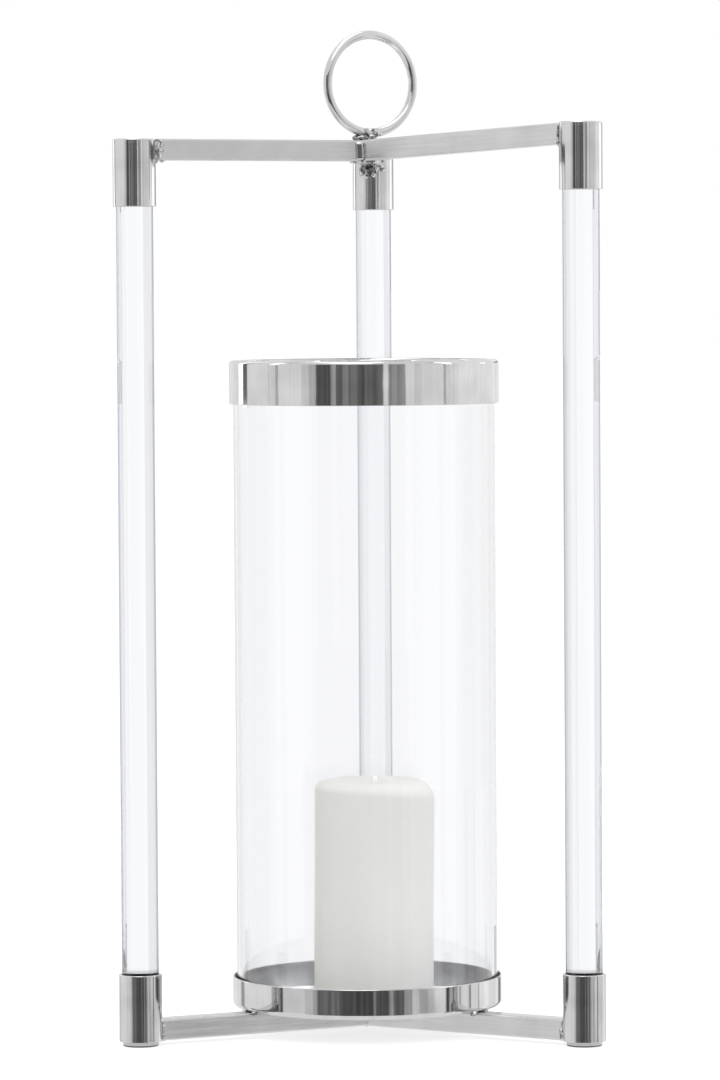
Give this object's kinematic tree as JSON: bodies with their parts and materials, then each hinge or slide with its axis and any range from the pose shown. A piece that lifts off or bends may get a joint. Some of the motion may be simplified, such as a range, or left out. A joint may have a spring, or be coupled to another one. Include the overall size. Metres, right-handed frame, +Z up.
{
  "type": "candle lantern",
  "caption": "Tall open candle lantern: clear rods in metal ferrules join two welded three-armed frames round a glass cylinder with a metal rim band, a tray, a pillar candle and a hanging ring.",
  "frame": {"origin": "on the floor, at the centre of the circle through the three posts", "axes": "+Z up; +Y from the origin to the back post; +X to the right, so the left post is at -X -Y and the right post at +X -Y"},
  "size_m": [0.2746, 0.2411, 0.5738],
  "materials": {
    "nickel": "polished nickel plate on steel",
    "weld_metal": "plated weld bead, lumpy and bright",
    "acrylic": "clear cast acrylic, polished",
    "glass": "clear blown glass",
    "wax": "cast candle wax, satin, faintly mottled",
    "cotton": "braided waxed cotton",
    "pad": "smooth plastic pad"
  },
  "bodies": {
    "frame": {"left_foot": "pad", "right_foot": "pad", "back_foot": "pad", "left_bottom_plug": "nickel", "right_bottom_plug": "nickel", "back_bottom_plug": "nickel", "left_bottom_ferrule": "nickel", "right_bottom_ferrule": "nickel", "back_bottom_ferrule": "nickel", "left_rod": "acrylic", "right_rod": "acrylic", "back_rod": "acrylic", "left_top_ferrule": "nickel", "right_top_ferrule": "nickel", "back_top_ferrule": "nickel", "left_top_cap": "nickel", "right_top_cap": "nickel", "back_top_cap": "nickel", "left_bottom_arm": "nickel", "right_bottom_arm": "nickel", "back_bottom_arm": "nickel", "left_top_arm": "nickel", "right_top_arm": "nickel", "back_top_arm": "nickel", "bottom_ferrule_welds": "weld_metal", "top_ferrule_welds": "weld_metal", "bottom_hub_weld": "weld_metal", "top_hub_weld": "weld_metal", "hanging_ring": "nickel", "ring_weld": "weld_metal", "tray": "nickel", "tray_welds": "weld_metal"},
    "shade": {"glass_cylinder": "glass", "glass_rim_band": "nickel"},
    "pillar_candle": {"candle": "wax", "wick": "cotton"}
  },
  "joints": [
    {"name": "glass_lift", "type": "slide", "parent": "frame", "child": "shade", "axis": [0, 0, 1], "range_m": [0, 0.112]},
    {"name": "candle_lift", "type": "slide", "parent": "frame", "child": "pillar_candle", "axis": [0, 0, 1], "range_m": [0, 0.35]}
  ]
}
